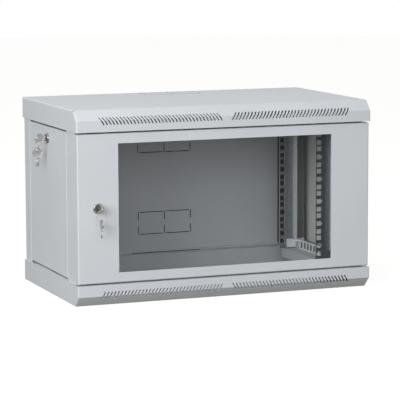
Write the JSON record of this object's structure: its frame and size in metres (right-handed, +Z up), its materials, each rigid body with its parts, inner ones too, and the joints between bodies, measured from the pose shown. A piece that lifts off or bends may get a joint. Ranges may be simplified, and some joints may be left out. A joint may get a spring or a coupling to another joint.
{
  "type": "wall mount network cabinet",
  "caption": "Small wall mount rack cabinet in light grey sheet steel with a locking glass door, vented caps, removable sides and adjustable 19-inch rails.",
  "frame": {"origin": "middle of the footprint, on the surface that the cabinet stands on", "axes": "+X to the right seen from the front, +Y back towards the wall, +Z up; the door faces -Y"},
  "size_m": [0.6263, 0.3773, 0.368],
  "materials": {
    "light_grey_powder_coat": "fine-textured satin powder coat",
    "galvanised_steel": "galvanised, faint spangle",
    "zinc_plated_steel": "bright zinc plate",
    "chrome": "polished",
    "nickel_plated_key": "nickel plate with handling wear",
    "tinted_glass": "grey-tinted toughened glass, polished edges",
    "black_foam": "matt closed-cell foam"
  },
  "bodies": {
    "cabinet": {"roof": "light_grey_powder_coat", "base": "light_grey_powder_coat", "back_panel": "light_grey_powder_coat", "front_post_left": "light_grey_powder_coat", "front_post_right": "light_grey_powder_coat", "rear_post_left": "light_grey_powder_coat", "rear_post_right": "light_grey_powder_coat", "bottom_side_rail_left": "light_grey_powder_coat", "bottom_side_rail_right": "light_grey_powder_coat", "top_side_rail_left": "light_grey_powder_coat", "top_side_rail_right": "light_grey_powder_coat", "front_rack_rail_left": "galvanised_steel", "front_rack_rail_right": "galvanised_steel", "rear_rack_rail_left": "galvanised_steel", "rear_rack_rail_right": "galvanised_steel", "bottom_depth_bracket_left": "galvanised_steel", "bottom_depth_bracket_right": "galvanised_steel", "top_depth_bracket_left": "galvanised_steel", "top_depth_bracket_right": "galvanised_steel", "rail_cleats": "galvanised_steel", "rail_bolts": "zinc_plated_steel"},
    "door": {"door_frame": "light_grey_powder_coat", "door_glass": "tinted_glass", "glass_seal": "black_foam", "glass_clips": "zinc_plated_steel", "lower_hinge_pin": "zinc_plated_steel", "upper_hinge_pin": "zinc_plated_steel", "door_lock_body": "chrome", "door_lock_nut": "zinc_plated_steel"},
    "left_side_cover": {"side_panel_left": "light_grey_powder_coat", "left_lock_body": "chrome", "left_lock_nut": "zinc_plated_steel"},
    "right_side_cover": {"side_panel_right": "light_grey_powder_coat", "right_lock_body": "chrome", "right_lock_nut": "zinc_plated_steel"},
    "door_lock_barrel": {"door_lock_plug": "chrome", "door_lock_cam": "zinc_plated_steel", "door_lock_cam_screw": "zinc_plated_steel"},
    "left_lock_barrel": {"left_lock_plug": "chrome", "left_lock_cam": "zinc_plated_steel", "left_lock_cam_screw": "zinc_plated_steel"},
    "right_lock_barrel": {"right_lock_plug": "chrome", "right_lock_cam": "zinc_plated_steel", "right_lock_cam_screw": "zinc_plated_steel"},
    "door_key": {"door_key": "nickel_plated_key"},
    "door_key_ring": {"door_key_ring": "nickel_plated_key"},
    "door_spare_key": {"door_spare_key": "nickel_plated_key"},
    "left_key": {"left_key": "nickel_plated_key"},
    "left_key_ring": {"left_key_ring": "nickel_plated_key"},
    "left_spare_key": {"left_spare_key": "nickel_plated_key"}
  },
  "joints": [
    {"name": "door_hinge", "type": "hinge", "parent": "cabinet", "child": "door", "pos_m": [0.2904, -0.161, 0.184], "axis": [0, 0, 1], "range_deg": [0, 180]},
    {"name": "left_side_cover_lift_off", "type": "slide", "parent": "cabinet", "child": "left_side_cover", "axis": [-1, 0, 0], "range_m": [0, 0.1]},
    {"name": "right_side_cover_lift_off", "type": "slide", "parent": "cabinet", "child": "right_side_cover", "axis": [1, 0, 0], "range_m": [0, 0.1]},
    {"name": "door_lock_turn", "type": "hinge", "parent": "door", "child": "door_lock_barrel", "pos_m": [-0.258, -0.172, 0.185], "axis": [0, 1, 0], "range_deg": [0, 90]},
    {"name": "left_lock_turn", "type": "hinge", "parent": "left_side_cover", "child": "left_lock_barrel", "pos_m": [-0.296, 0.018, 0.3], "axis": [1, 0, 0], "range_deg": [0, 90]},
    {"name": "right_lock_turn", "type": "hinge", "parent": "right_side_cover", "child": "right_lock_barrel", "pos_m": [0.296, 0.018, 0.3], "axis": [1, 0, 0], "range_deg": [0, 90]},
    {"name": "door_key_pull", "type": "slide", "parent": "door_lock_barrel", "child": "door_key", "axis": [0, -1, 0], "range_m": [0, 0.03]},
    {"name": "left_key_pull", "type": "slide", "parent": "left_lock_barrel", "child": "left_key", "axis": [-1, 0, 0], "range_m": [0, 0.03]},
    {"name": "door_key_ring_swing", "type": "hinge", "parent": "door_key", "child": "door_key_ring", "pos_m": [-0.258, -0.1928, 0.18385], "axis": [1, 0, 0], "range_deg": [-60, 8]},
    {"name": "door_spare_key_swing", "type": "hinge", "parent": "door_key_ring", "child": "door_spare_key", "pos_m": [-0.258, -0.1928, 0.16385], "axis": [1, 0, 0], "range_deg": [-60, 12]},
    {"name": "left_key_ring_swing", "type": "hinge", "parent": "left_key", "child": "left_key_ring", "pos_m": [-0.3168, 0.018, 0.29885], "axis": [0, 1, 0], "range_deg": [-8, 60]},
    {"name": "left_spare_key_swing", "type": "hinge", "parent": "left_key_ring", "child": "left_spare_key", "pos_m": [-0.3168, 0.018, 0.27885], "axis": [0, 1, 0], "range_deg": [-12, 60]}
  ]
}
